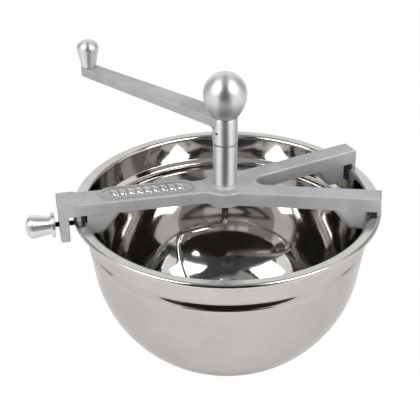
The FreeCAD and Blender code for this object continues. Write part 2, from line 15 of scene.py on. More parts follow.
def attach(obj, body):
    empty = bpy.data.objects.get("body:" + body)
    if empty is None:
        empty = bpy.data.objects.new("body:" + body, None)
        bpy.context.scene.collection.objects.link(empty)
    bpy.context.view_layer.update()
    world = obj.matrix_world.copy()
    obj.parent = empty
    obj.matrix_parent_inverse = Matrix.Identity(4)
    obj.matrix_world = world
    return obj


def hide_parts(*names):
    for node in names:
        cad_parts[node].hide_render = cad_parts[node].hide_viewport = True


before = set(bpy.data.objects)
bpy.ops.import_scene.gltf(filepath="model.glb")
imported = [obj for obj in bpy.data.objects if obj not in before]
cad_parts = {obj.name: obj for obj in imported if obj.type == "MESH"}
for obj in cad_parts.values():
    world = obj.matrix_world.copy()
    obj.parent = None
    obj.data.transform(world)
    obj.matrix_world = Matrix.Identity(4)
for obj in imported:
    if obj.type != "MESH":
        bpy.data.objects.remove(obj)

MM = 0.001
WELD_GAP = 0.002 * MM
CAD_WELD_GAP = 0.001 * MM
LATHE_MAP = "lathe"
LOG = logging.getLogger("kneader")
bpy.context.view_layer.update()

# Places that pieces and finishes share, in millimetres
RIM_Z = 154.828
BOWL_SHIFT = 1.6
BOWL_AXIS = (BOWL_SHIFT, 0.0, 0.0)
GRIP_PLACE = (-105.183, 136.090)
THUMB_AXIS_Z = RIM_Z - 7.6

WHITE = (1.0, 1.0, 1.0, 1.0)


class Grain(Enum):
    """Way in which a metal surface was worked, which sets its fine texture."""

    SPUN = "rings round the bowl's axis"
    TURNED = "rings round a lathe's axis"
    CAST = "tumbled casting skin"
    DRAWN = "drawn and buffed rod"
    PLATED = "plated small part"


class Body(Enum):
    """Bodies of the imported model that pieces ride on."""

    STAND = "stand"
    CRANK = "crank"
    GRIP = "grip"
    SHOE = "shoe"
    THUMB_SCREW = "thumb_screw"


class Slot(Enum):
    """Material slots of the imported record."""

    BOWL_STEEL = "bowl_steel"
    CAST_ALUMINIUM = "cast_aluminium"
    TURNED_ALUMINIUM = "turned_aluminium"
    ROD_STEEL = "rod_steel"
    PLAIN_STEEL = "plain_steel"
    BLACK_STEEL = "black_steel"
    BEARING_BRONZE = "bearing_bronze"


class NodeSheet:
    """Shader nodes of one material or world, with short calls to add and join them."""

    def __init__(self, owner: Material | World) -> None:
        """Start with an empty node tree.

        Args:
            owner: New material or world.
        """
        owner.use_nodes = True
        self.tree = owner.node_tree
        self.tree.nodes.clear()

    def add(self, kind: str, **sockets: object) -> Node:
        """Add a node.

        Args:
            kind: Blender's name of the node type.
            **sockets: Values of its inputs; a name written a_b stands for the socket "A B".

        Returns:
            The new node.
        """
        node = self.tree.nodes.new(kind)
        for name, value in sockets.items():
            node.inputs[name.replace("_", " ").title()].default_value = value
        return node

    def join(self, source: NodeSocket, target: NodeSocket) -> None:
        """Link two sockets."""
        self.tree.links.new(source, target)

    def show(self, surface: NodeSocket, output: str = "ShaderNodeOutputMaterial") -> None:
        """Send a shader to a new output node."""
        self.join(surface, self.add(output).inputs["Surface"])

    def math(self, operation: str, first: NodeSocket, second: float | NodeSocket = 0.0) -> NodeSocket:
        """Work out a number from one or two others.

        Args:
            operation: Name of the operation of Blender's Math node.
            first: Left operand.
            second: Right operand, a number or a socket.

        Returns:
            Socket that carries the result.
        """
        node = self.add("ShaderNodeMath")
        node.operation = operation
        self.join(first, node.inputs[0])
        if isinstance(second, NodeSocket):
            self.join(second, node.inputs[1])
        else:
            node.inputs[1].default_value = second
        return node.outputs[0]

    def spread(self, source: NodeSocket, low: float, high: float) -> NodeSocket:
        """Stretch a noise value, which lies mostly between 0.3 and 0.7, over a range.

        Args:
            source: Noise value.
            low: Result where the noise is low.
            high: Result where the noise is high.

        Returns:
            Socket that carries the stretched value.
        """
        node = self.add("ShaderNodeMapRange", from_min=0.3, from_max=0.7, to_min=low, to_max=high)
        self.join(source, node.inputs["Value"])
        return node.outputs["Result"]

    def noise(self, place: NodeSocket, scale: float, detail: float, roughness: float = 0.55) -> NodeSocket:
        """Add a noise pattern.

        Args:
            place: Coordinates.
            scale: Repeats per metre.
            detail: Number of finer layers.
            roughness: Strength of the finer layers.

        Returns:
            Socket that carries the noise value.
        """
        node = self.add("ShaderNodeTexNoise", scale=scale, detail=detail, roughness=roughness)
        self.join(place, node.inputs["Vector"])
        return node.outputs["Fac"]

    def by_ray(self, plain: NodeSocket, seen: NodeSocket, camera: float, mirror: float) -> NodeSocket:
        """Give rays that look straight at a surface another shader than light that falls on others.

        Args:
            plain: Shader for light that falls on surfaces.
            seen: Shader for rays from the camera, from a reflection or from glass.
            camera: Share of the seen shader for rays from the camera.
            mirror: Its share for rays from a reflection or from glass.

        Returns:
            Socket that carries the mixed shader.
        """
        path = self.add("ShaderNodeLightPath")
        direct = self.math("MULTIPLY", path.outputs["Is Camera Ray"], camera)
        turned = self.math("MAXIMUM", path.outputs["Is Glossy Ray"], path.outputs["Is Transmission Ray"])
        mix = self.add("ShaderNodeMixShader")
        self.join(self.math("MAXIMUM", direct, self.math("MULTIPLY", turned, mirror)), mix.inputs["Fac"])
        self.join(plain, mix.inputs[1])
        self.join(seen, mix.inputs[2])
        return mix.outputs["Shader"]


@dataclass(frozen=True)
class MetalFinish:
    """Finish of a metal surface.

    Attributes:
        name: Name of the material.
        grain: Way in which the surface was worked.
        tint: Colour of the bright parts.
        shade: Colour of the dull parts.
        smooth: Roughness of the bright parts.
        dull: Roughness of the dull parts.
        line: Number of texture lines or grains per metre.
        depth: Height of the texture in metres.
        centre: Point on the axis of a ring pattern, in millimetres.
        lean: Turn that brings the axis of a ring pattern to Z, in degrees about Y.
        stretch: How far turning marks draw a highlight out along the profile, from 0 to 1.
        metal: Share of bare metal; the rest is a matt oxide skin.
        PATCHES: Dull patches per metre.
        WEAR: Spots of wear per metre.
        LEAST_WEAR: Share of a patch's dullness that is left where wear is least.
        GRAIN_SHARE: Part of the fine texture in the roughness.
        ROUGH_SHARE: Scale that brings patches and texture together into a noise's range.
        WAVE: Fine grains to one wave of a casting's skin.
    """

    PATCHES: ClassVar[float] = 38.0
    WEAR: ClassVar[float] = 260.0
    LEAST_WEAR: ClassVar[float] = 0.45
    GRAIN_SHARE: ClassVar[float] = 0.35
    ROUGH_SHARE: ClassVar[float] = 0.75
    WAVE: ClassVar[float] = 9.0

    name: str
    grain: Grain
    tint: tuple[float, float, float]
    shade: tuple[float, float, float]
    smooth: float
    dull: float
    line: float
    depth: float
    centre: tuple[float, float, float] = (0.0, 0.0, 0.0)
    lean: float = 0.0
    stretch: float = 0.0
    metal: float = 1.0

    def material(self) -> Material:
        """Build the node material of this finish.

        Returns:
            The material.
        """
        material = bpy.data.materials.new(self.name)
        sheet = NodeSheet(material)
        shader = sheet.add("ShaderNodeBsdfPrincipled", metallic=self.metal, anisotropic=self.stretch)
        place = self.place(sheet)
        fine = self.fine_texture(sheet, place)
        patches = sheet.spread(sheet.noise(place, self.PATCHES, detail=3.0), 0.0, 1.0)
        wear = sheet.noise(place, self.WEAR, detail=5.0, roughness=0.7)
        blend = sheet.math("MULTIPLY", patches, sheet.spread(wear, self.LEAST_WEAR, 1.0))
        colour = sheet.add("ShaderNodeMix")
        colour.data_type = "RGBA"
        colour.inputs["A"].default_value = (*self.tint, 1.0)
        colour.inputs["B"].default_value = (*self.shade, 1.0)
        sheet.join(blend, colour.inputs["Factor"])
        sheet.join(colour.outputs["Result"], shader.inputs["Base Color"])
        grain = sheet.math("MULTIPLY", fine, self.GRAIN_SHARE)
        mixed = sheet.math("MULTIPLY", sheet.math("ADD", blend, grain), self.ROUGH_SHARE)
        sheet.join(sheet.spread(mixed, self.smooth, self.dull), shader.inputs["Roughness"])
        bump = sheet.add("ShaderNodeBump", strength=1.0, distance=self.depth)
        sheet.join(fine, bump.inputs["Height"])
        sheet.join(bump.outputs["Normal"], shader.inputs["Normal"])
        if self.stretch:
            along = sheet.add("ShaderNodeTangent")
            along.direction_type = "UV_MAP"
            along.uv_map = LATHE_MAP
            sheet.join(along.outputs["Tangent"], shader.inputs["Tangent"])
        sheet.show(shader.outputs["BSDF"])
        return material

    def place(self, sheet: NodeSheet) -> NodeSocket:
        """Give the pattern's own coordinates, with Z along its axis.

        Args:
            sheet: Nodes of the material.

        Returns:
            Socket that carries the coordinates.
        """
        coordinates = sheet.add("ShaderNodeTexCoord")
        mapping = sheet.add("ShaderNodeMapping")
        mapping.vector_type = "TEXTURE"
        mapping.inputs["Location"].default_value = [value * MM for value in self.centre]
        mapping.inputs["Rotation"].default_value = (0.0, math.radians(self.lean), 0.0)
        sheet.join(coordinates.outputs["Object"], mapping.inputs["Vector"])
        return mapping.outputs["Vector"]

    def fine_texture(self, sheet: NodeSheet, place: NodeSocket) -> NodeSocket:
        """Add the fine texture that the way of working left.

        Args:
            sheet: Nodes of the material.
            place: The pattern's own coordinates.

        Returns:
            Socket that carries the height of the texture.
        """
        if self.grain in (Grain.SPUN, Grain.TURNED):
            return sheet.noise(self.rings(sheet, place), self.line, detail=2.0, roughness=0.6)
        if self.grain is Grain.CAST:
            skin = sheet.noise(place, self.line, detail=4.0, roughness=0.6)
            waves = sheet.noise(place, self.line / self.WAVE, detail=2.0)
            return sheet.math("ADD", waves, skin)
        return sheet.noise(place, self.line, detail=3.0, roughness=0.6)

    def rings(self, sheet: NodeSheet, place: NodeSocket) -> NodeSocket:
        """Turn coordinates into distance from the axis and height, so that a noise becomes rings.

        Args:
            sheet: Nodes of the material.
            place: The pattern's own coordinates.

        Returns:
            Socket that carries the ring coordinates.
        """
        apart = sheet.add("ShaderNodeSeparateXYZ")
        sheet.join(place, apart.inputs["Vector"])
        across = sheet.math("MULTIPLY", apart.outputs["X"], apart.outputs["X"])
        along = sheet.math("MULTIPLY", apart.outputs["Y"], apart.outputs["Y"])
        distance = sheet.math("SQRT", sheet.math("ADD", across, along))
        together = sheet.add("ShaderNodeCombineXYZ")
        sheet.join(distance, together.inputs["X"])
        sheet.join(apart.outputs["Z"], together.inputs["Y"])
        return together.outputs["Vector"]


class Route:
    """Vertex or ring of edges that is swept along straight runs and round bends in the XZ plane."""

    def __init__(self, mesh: BMesh, geom: list, start: tuple[float, float], heading: float) -> None:
        """Begin a route.

        Args:
            mesh: Mesh that receives the swept geometry.
            geom: Vertices and edges to sweep, already at the start.
            start: Distance from the axis and height, in millimetres.
            heading: Direction in degrees: 0 is away from the axis and 90 is up.
        """
        self.mesh = mesh
        self.geom = geom
        self.here = Vector((start[0], 0.0, start[1]))
        self.heading = heading

    @staticmethod
    def ahead(heading: float) -> Vector:
        """Unit step in a direction given in degrees."""
        angle = math.radians(heading)
        return Vector((math.cos(angle), 0.0, math.sin(angle)))

    def sweep(self, centre: Vector, turn: float, shift: Vector, steps: int) -> None:
        """Extrude the last geometry by a turn or a shift.

        Args:
            centre: Centre of the turn, in millimetres.
            turn: Turn in degrees.
            shift: Shift of each step, in millimetres.
            steps: Number of steps.
        """
        made = bmesh.ops.spin(
            self.mesh,
            geom=self.geom,
            cent=centre * MM,
            axis=(0.0, -1.0, 0.0),
            dvec=shift * MM,
            angle=math.radians(turn),
            steps=steps,
            use_merge=False,
            use_duplicate=False,
        )
        self.geom = made["geom_last"]

    def run(self, length: float) -> None:
        """Go straight on.

        Args:
            length: Length of the run, in millimetres.
        """
        shift = self.ahead(self.heading) * length
        self.sweep(self.here, 0.0, shift, 1)
        self.here = self.here + shift

    def bend(self, radius: float, turn: float, finest: float = 6.0) -> None:
        """Go round a bend.

        Args:
            radius: Radius of the bend, in millimetres.
            turn: Turn in degrees, positive to the left.
            finest: Largest turn of one step, in degrees.
        """
        side = math.copysign(90.0, turn)
        centre = self.here + self.ahead(self.heading + side) * radius
        self.sweep(centre, turn, Vector(), max(2, math.ceil(abs(turn) / finest)))
        self.here = centre + self.ahead(self.heading - side + turn) * radius
        self.heading += turn

    def trace(self, corners: list[tuple[float, float, float]]) -> None:
        """Follow corners, each rounded with its own radius, and stop at the last one.

        Args:
            corners: Distance from the axis, height and radius of each corner, in millimetres.
        """
        points = [Vector((r, 0.0, z)) for r, z, _ in corners]
        for index, point in enumerate(points):
            way = point - self.here
            self.heading = math.degrees(math.atan2(way.z, way.x))
            radius = corners[index][2]
            if index + 1 == len(points) or radius == 0.0:
                self.run(way.length)
                continue
            after = points[index + 1] - point
            turn = math.degrees(math.atan2(after.z, after.x)) - self.heading
            turn = (turn + 180.0) % 360.0 - 180.0
            self.run(way.length - radius * math.tan(math.radians(abs(turn) / 2)))
            self.bend(radius, turn, finest=15.0)

    def dome(self, shoulder: tuple[float, float], top: float, edge: float) -> None:
        """Run to a shoulder, round its edge and close over the axis with a sphere's cap.

        Args:
            shoulder: Distance from the axis and height of the shoulder, in millimetres.
            top: Height of the cap's top.
            edge: Radius of the rounded edge.
        """
        corner = Vector((shoulder[0], 0.0, shoulder[1]))
        rise = top - corner.z
        ball = (corner.x ** 2 + rise ** 2) / (2 * rise)
        centre = Vector((0.0, 0.0, top - ball))
        way = corner - self.here
        self.heading = math.degrees(math.atan2(way.z, way.x))
        along = way.normalized()
        inner = corner + self.ahead(self.heading + 90.0) * edge - centre
        slide = inner.dot(along)
        reach = math.sqrt(slide ** 2 - inner.length_squared + (ball - edge) ** 2)
        back = min(slide + reach, slide - reach, key=abs)
        self.run(way.length - back)
        middle = inner - along * back
        facing = math.degrees(math.atan2(middle.z, middle.x))
        self.bend(edge, facing + 90.0 - self.heading)
        self.bend(ball, 90.0 - facing)


def weld(mesh: BMesh) -> None:
    """Merge doubles and point the faces outwards."""
    bmesh.ops.remove_doubles(mesh, verts=mesh.verts, dist=WELD_GAP)
    bmesh.ops.recalc_face_normals(mesh, faces=mesh.faces)


def turn_round(mesh: BMesh, steps: int, turns: int = 1, rise: float = 0.0) -> None:
    """Spin a profile round Z, once to a closed form or with a rise to a helix.

    Args:
        mesh: Mesh that holds the profile in the XZ plane.
        steps: Number of segments in a turn.
        turns: Number of turns.
        rise: Rise of each turn, in millimetres.
    """
    bmesh.ops.spin(
        mesh,
        geom=mesh.verts[:] + mesh.edges[:],
        cent=(0.0, 0.0, 0.0),
        axis=(0.0, 0.0, 1.0),
        dvec=(0.0, 0.0, rise / steps * MM),
        angle=math.tau * turns,
        steps=steps * turns,
        use_merge=rise == 0.0,
        use_duplicate=False,
    )
    weld(mesh)


def profile(start: tuple[float, float], heading: float = 0.0) -> Route:
    """Begin a profile with one vertex.

    Args:
        start: Distance from the axis and height, in millimetres.
        heading: First direction in degrees.

    Returns:
        Route that grows the profile.
    """
    mesh = bmesh.new()
    vertex = mesh.verts.new((start[0] * MM, 0.0, start[1] * MM))
    return Route(mesh, [vertex], start, heading)


def lathe_map(mesh: BMesh, middle: tuple[float, float, float]) -> None:
    """Write a UV map that runs along a turned profile and round its upright axis.

    Args:
        mesh: Mesh about an upright axis.
        middle: Point of the axis inside the turned form, in millimetres.
    """
    layer = mesh.loops.layers.uv.new(LATHE_MAP)
    centre = Vector(middle) * MM
    for face in mesh.faces:
        for loop in face.loops:
            arm = loop.vert.co - centre
            rise = math.atan2(arm.z, math.hypot(arm.x, arm.y))
            loop[layer].uv = (rise, math.atan2(arm.y, arm.x) / math.tau)


def cad_copy(node: str) -> BMesh:
    """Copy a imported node's mesh and merge its loose triangles.

    Args:
        node: Name of the node.

    Returns:
        The merged copy.
    """
    mesh = bmesh.new()
    mesh.from_mesh(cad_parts[node].data)
    bmesh.ops.remove_doubles(mesh, verts=mesh.verts, dist=CAD_WELD_GAP)
    return mesh


def dress_turned(mesh: BMesh, radius: float, bottom: float, top: float, margin: float = 0.05) -> None:
    """Give the turned faces of a casting about Z their own finish, and map them.

    Args:
        mesh: Mesh of the casting.
        radius: Largest distance of a turned face from the axis, in millimetres.
        bottom: Lower end of the turned length.
        top: Upper end of the turned length.
        margin: How far past the radius and the top a face still counts.
    """
    lathe_map(mesh, (0.0, 0.0, (bottom + top) / 2))
    turned = CASTING.index(TURNED_UPRIGHT)
    for face in mesh.faces:
        middle = face.calc_center_median() / MM
        if math.hypot(middle.x, middle.y) < radius + margin and bottom < middle.z < top + margin:
            face.material_index = turned


def shown(name: str, mesh: BMesh, finishes: list[MetalFinish], crease: float = 32.0) -> Object:
    """Make a smooth object with sharp creases and its materials.

    Args:
        name: Name of the piece.
        mesh: Finished mesh, in metres and in place.
        finishes: Finishes in the order of the faces' material numbers.
        crease: Smallest angle between faces that stays sharp, in degrees.

    Returns:
        The new object.
    """
    for face in mesh.faces:
        face.smooth = True
    for edge in mesh.edges:
        edge.smooth = edge.calc_face_angle(0.0) < math.radians(crease)
    data = bpy.data.meshes.new(name)
    mesh.to_mesh(data)
    mesh.free()
    piece = bpy.data.objects.new(name, data)
    bpy.context.scene.collection.objects.link(piece)
    for finish in finishes:
        data.materials.append(FINISHES.of(finish))
    weighted = piece.modifiers.new("even_shading", "WEIGHTED_NORMAL")
    weighted.keep_sharp = True
    return piece


def hand_over(piece: Object, body: Body, slot: Slot, *nodes: str) -> None:
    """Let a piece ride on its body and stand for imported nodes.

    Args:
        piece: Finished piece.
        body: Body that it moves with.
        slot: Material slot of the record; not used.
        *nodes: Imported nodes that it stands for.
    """
    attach(piece, body.value)
    if nodes:
        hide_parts(*nodes)
    LOG.info("%s: %d faces on %s", piece.name, len(piece.data.polygons), body.value)


class FinishStore:
    """Materials that were already built, one for each finish."""

    def __init__(self) -> None:
        """Start empty."""
        self.made: dict[MetalFinish, Material] = {}

    def of(self, finish: MetalFinish) -> Material:
        """Give the material of a finish, built on first use.

        Args:
            finish: Finish to look up.

        Returns:
            Its material.
        """
        if finish not in self.made:
            self.made[finish] = finish.material()
        return self.made[finish]


FINISHES = FinishStore()

BOWL_INSIDE = MetalFinish(
    "bowl_mirror_polish", Grain.SPUN, (0.63, 0.615, 0.6), (0.56, 0.545, 0.53), 0.05, 0.1, 900.0, 1.5e-7,
    BOWL_AXIS
)
BOWL_OUTSIDE = MetalFinish(
    "bowl_satin_polish", Grain.SPUN, (0.545, 0.515, 0.507), (0.48, 0.452, 0.446), 0.1, 0.17, 1500.0, 1.4e-6,
    BOWL_AXIS
)
BOWL_RIM = MetalFinish(
    "bowl_rim_satin", Grain.SPUN, (0.60, 0.59, 0.57), (0.52, 0.51, 0.495), 0.14, 0.24, 1200.0, 2e-6,
    BOWL_AXIS
)
CAST_SKIN = MetalFinish(
    "cast_aluminium_skin", Grain.CAST, (0.325, 0.325, 0.336), (0.25, 0.25, 0.26), 0.34, 0.5, 900.0, 1.6e-4,
    metal=0.4
)
RELIEF_SKIN = MetalFinish(
    "rubbed_relief", Grain.CAST, (0.68, 0.68, 0.69), (0.50, 0.50, 0.52), 0.14, 0.28, 1400.0, 1e-4
)
TURNED_UPRIGHT = MetalFinish(
    "turned_aluminium_upright", Grain.TURNED, (0.82, 0.82, 0.84), (0.72, 0.72, 0.74), 0.48, 0.56, 2600.0,
    6e-6, stretch=0.88
)
TURNED_BALL = MetalFinish(
    "turned_aluminium_ball", Grain.TURNED, (0.74, 0.74, 0.76), (0.64, 0.64, 0.66), 0.38, 0.45, 2600.0, 4e-6,
    stretch=0.62
)
TURNED_HANDLE = MetalFinish(
    "turned_aluminium_handle", Grain.TURNED, (0.76, 0.76, 0.78), (0.66, 0.66, 0.68), 0.44, 0.52, 2600.0,
    3e-6, (*GRIP_PLACE, 0.0), stretch=0.7
)
TURNED_THUMB = MetalFinish(
    "turned_aluminium_thumb", Grain.TURNED, (0.8, 0.8, 0.82), (0.7, 0.7, 0.72), 0.36, 0.46, 2600.0, 8e-6,
    (0.0, 0.0, THUMB_AXIS_Z), lean=90.0, stretch=0.85
)
ROD_STEEL = MetalFinish(
    "bright_drawn_rod", Grain.DRAWN, (0.62, 0.60, 0.575), (0.52, 0.50, 0.48), 0.05, 0.14, 2200.0, 4e-6
)
ZINC = MetalFinish(
    "plated_steel", Grain.PLATED, (0.50, 0.50, 0.51), (0.38, 0.38, 0.39), 0.25, 0.42, 1800.0, 8e-6
)
BLACK_OXIDE = MetalFinish(
    "black_oxide", Grain.PLATED, (0.035, 0.035, 0.036), (0.018, 0.018, 0.018), 0.3, 0.48, 2400.0, 1e-5
)
BRONZE = MetalFinish(
    "bearing_bronze", Grain.TURNED, (0.53, 0.36, 0.18), (0.40, 0.26, 0.12), 0.24, 0.4, 2400.0, 6e-6
)
BOWL_SHEET = [BOWL_INSIDE, BOWL_OUTSIDE, BOWL_RIM]
CASTING = [CAST_SKIN, TURNED_UPRIGHT]


@dataclass
class Bowl:
    """Deep spun bowl; sizes follow the inner face of its sheet, in millimetres."""

    rim_r: float = 140.0
    sheet: float = 1.0
    edge_drop: float = 0.8
    edge_r: float = 2.6
    flange: float = 5.0
    neck_r: float = 3.4
    band: float = 21.0
    crease_r: float = 1.0
    ledge_turn: float = 60.0
    ledge: float = 3.97
    bead_r: float = 2.6
    shoulder_turn: float = 40.0
    shoulder_r: float = 8.0
    taper: float = 8.65
    wall: float = 27.96
    belly_r: float = 116.6
    knuckle_turn: float = 30.0
    knuckle_r: float = 39.0
    shift: float = BOWL_SHIFT
    segments: int = 288
    crease: float = 50.0

    def build(self) -> None:
        """Spin the sheet, give it its thickness, and dress its two faces and its rim."""
        mesh = self.inner_face()
        if min(mesh.faces, key=lambda face: face.calc_center_median().z).normal.z < 0.0:
            bmesh.ops.reverse_faces(mesh, faces=mesh.faces)
        inner = len(mesh.faces)
        bmesh.ops.solidify(mesh, geom=mesh.faces[:], thickness=self.sheet * MM)
        mesh.faces.ensure_lookup_table()
        neck = self.rim_r - self.edge_r - self.flange - self.neck_r / 2
        outside = BOWL_SHEET.index(BOWL_OUTSIDE)
        rim = BOWL_SHEET.index(BOWL_RIM)
        for face in mesh.faces:
            middle = face.calc_center_median() - Vector((self.shift * MM, 0.0, 0.0))
            if math.hypot(middle.x, middle.y) > neck * MM:
                face.material_index = rim
            elif face.index >= inner:
                face.material_index = outside
        piece = shown("bowl_sheet", mesh, BOWL_SHEET, self.crease)
        hand_over(piece, Body.STAND, Slot.BOWL_STEEL, "bowl")

    def inner_face(self) -> BMesh:
        """Spin the inner face from the turned-down edge to the middle of the base.

        Returns:
            Open mesh of the inner face.
        """
        route = profile((self.rim_r, 0.0), 90.0)
        route.run(self.edge_drop)
        route.bend(self.edge_r, 90.0, finest=10.0)
        route.run(self.flange)
        route.bend(self.neck_r, 90.0)
        route.run(self.band)
        route.bend(self.crease_r, -self.ledge_turn, finest=7.5)
        route.run(self.ledge)
        route.bend(self.bead_r, self.ledge_turn + self.shoulder_turn, finest=7.5)
        route.bend(self.shoulder_r, -self.shoulder_turn - self.taper, finest=4.0)
        route.run(self.wall)
        route.bend(self.belly_r, self.taper + self.knuckle_turn - 90.0, finest=1.5)
        route.bend(self.knuckle_r, -self.knuckle_turn, finest=2.0)
        floor = route.here.z
        route.run(route.here.x)
        mesh = route.mesh
        turn_round(mesh, self.segments)
        lift = self.sheet - floor
        bmesh.ops.translate(mesh, verts=mesh.verts, vec=Vector((self.shift, 0.0, lift)) * MM)
        return mesh


@dataclass
class Bridge:
    """Cast bridge with its bushes, and the plain relief in its oblong panel; millimetres."""

    boss_r: float = 10.8
    boss_foot: float = 174.6
    boss_top: float = RIM_Z + 58.3
    panel_start: float = -28.3
    panel_length: float = 85.0
    panel_y: float = 1.8
    panel_floor: float = 172.23
    relief_rise: float = 2.2
    beads: int = 9
    bead_pitch: float = 7.4
    bead_width: float = 6.6
    bead_length: float = 12.6
    bead_slant: float = 24.0
    bead_sunk: float = 0.2

    def build(self) -> None:
        """Dress the casting, its relief and the two bushes."""
        mesh = cad_copy("bridge_frame")
        dress_turned(mesh, self.boss_r, self.boss_foot, self.boss_top)
        casting = shown("bridge_casting", mesh, CASTING)
        hand_over(casting, Body.STAND, Slot.CAST_ALUMINIUM, "bridge_frame")
        relief = shown("panel_relief", self.relief(), [RELIEF_SKIN])
        hand_over(relief, Body.STAND, Slot.CAST_ALUMINIUM)
        for node in ("upper_bush", "lower_bush"):
            piece = shown(node + "_turned", cad_copy(node), [BRONZE])
            hand_over(piece, Body.STAND, Slot.BEARING_BRONZE, node)

    def relief(self) -> BMesh:
        """Row of plain slanted beads along the panel.

        Returns:
            Mesh of all the beads.
        """
        mesh = bmesh.new()
        middle = self.panel_start - self.panel_length / 2
        slant = Matrix.Rotation(math.radians(self.bead_slant), 4, "Z")
        half = Vector((self.bead_width / 2, self.bead_length / 2, self.relief_rise)) * MM
        for index in range(self.beads):
            along = middle + (index - (self.beads - 1) / 2) * self.bead_pitch
            place = Matrix.Translation(Vector((along, self.panel_y, self.panel_floor)) * MM)
            matrix = place @ slant @ Matrix.Diagonal((*half, 1.0))
            bmesh.ops.create_uvsphere(mesh, u_segments=20, v_segments=10, radius=1.0, matrix=matrix)
        everything = mesh.verts[:] + mesh.edges[:] + mesh.faces[:]
        level = (0.0, 0.0, (self.panel_floor - self.bead_sunk) * MM)
        bmesh.ops.bisect_plane(
            mesh, geom=everything, plane_co=level, plane_no=(0.0, 0.0, 1.0), clear_inner=True
        )
        bmesh.ops.holes_fill(mesh, edges=mesh.edges, sides=0)
        bmesh.ops.recalc_face_normals(mesh, faces=mesh.faces)
        return mesh


@dataclass
class Crank:
    """Crank arm, palm knob, cross pin and the bent rod that they turn; millimetres."""

    angle: float = 127.7
    top: float = RIM_Z + 84.8
    rod_d: float = 6.0
    rod_top: float = RIM_Z + 100.8
    rod_round: float = 0.6
    arm_bottom: float = RIM_Z + 3.4
    neck_drop: float = 26.8
    slope: float = 31.0
    neck_bend: float = 12.0
    reach: float = 59.3
    hook_bend: float = 23.0
    floor_gap: float = 5.6
    sweep: float = 80.0
    sheet: float = 1.0
    palm_neck_r: float = 11.0
    palm_r: float = 19.2
    palm_centre: float = 21.7
    collar_r: float = 11.2
    collar_z: float = RIM_Z + 59.4

    def build(self) -> None:
        """Dress the arm, the pin, the ring and the washer, and build the rod and the palm knob."""
        mesh = cad_copy("crank_arm")
        dress_turned(mesh, self.collar_r, self.collar_z, self.top)
        arm = shown("crank_casting", mesh, CASTING)
        hand_over(arm, Body.CRANK, Slot.CAST_ALUMINIUM, "crank_arm")
        knob = shown("palm_ball", self.palm_knob(), [TURNED_BALL])
        hand_over(knob, Body.CRANK, Slot.TURNED_ALUMINIUM, "palm_knob")
        rod = shown("kneading_hook", self.rod(), [ROD_STEEL])
        hand_over(rod, Body.CRANK, Slot.ROD_STEEL, "kneading_rod")
        for node in ("cross_pin", "thrust_washer", "retaining_ring"):
            piece = shown(node + "_plated", cad_copy(node), [ZINC])
            hand_over(piece, Body.CRANK, Slot.PLAIN_STEEL, node)

    def palm_knob(self) -> BMesh:
        """Egg-shaped knob with its thin end down.

        Returns:
            Mesh of the knob.
        """
        drop = self.palm_r - self.palm_neck_r
        flank_r = (self.palm_centre ** 2 + drop ** 2) / (2 * drop)
        lean = math.degrees(math.asin(self.palm_centre / flank_r))
        route = profile((0.0, self.top))
        route.run(self.palm_neck_r)
        route.heading = 90.0 - lean
        route.bend(flank_r, lean, finest=2.0)
        route.bend(self.palm_r, 90.0, finest=4.0)
        turn_round(route.mesh, steps=96)
        lathe_map(route.mesh, (0.0, 0.0, self.top + self.palm_centre))
        return route.mesh

    def rod(self) -> BMesh:
        """Shaft and hook as one swept ring with rounded ends.

        Returns:
            Mesh of the rod.
        """
        mesh = bmesh.new()
        matrix = Matrix.Translation((0.0, 0.0, self.rod_top * MM))
        ring = bmesh.ops.create_circle(mesh, segments=40, radius=self.rod_d / 2 * MM, matrix=matrix)
        geom = ring["verts"] + mesh.edges[:]
        route = Route(mesh, geom, (0.0, self.rod_top), -90.0)
        slope = math.radians(self.slope)
        turn = 90.0 - self.slope
        corner = self.neck_bend * math.tan(math.radians(turn / 2))
        shoulder = (self.reach - self.hook_bend + self.hook_bend * math.sin(slope)) / math.cos(slope)
        neck_z = self.arm_bottom - self.neck_drop
        route.run(self.rod_top - neck_z - corner)
        route.bend(self.neck_bend, turn, finest=4.0)
        route.run(shoulder - corner)
        route.bend(self.hook_bend, -turn, finest=3.0)
        drop = route.here.z - self.sheet - self.floor_gap - self.rod_d / 2
        route.bend(drop, -self.sweep, finest=2.0)
        bmesh.ops.holes_fill(mesh, edges=mesh.edges[:], sides=0)
        weld(mesh)
        square = math.radians(60.0)
        rims = [edge for edge in mesh.edges if edge.calc_face_angle(0.0) > square]
        bmesh.ops.bevel(
            mesh,
            geom=rims,
            offset=self.rod_round * MM,
            offset_type="OFFSET",
            affect="EDGES",
            segments=3,
            profile=0.5,
            material=-1,
        )
        turn_z = Matrix.Rotation(math.radians(self.angle), 3, "Z")
        bmesh.ops.rotate(mesh, verts=mesh.verts, cent=(0.0, 0.0, 0.0), matrix=turn_z)
        return mesh


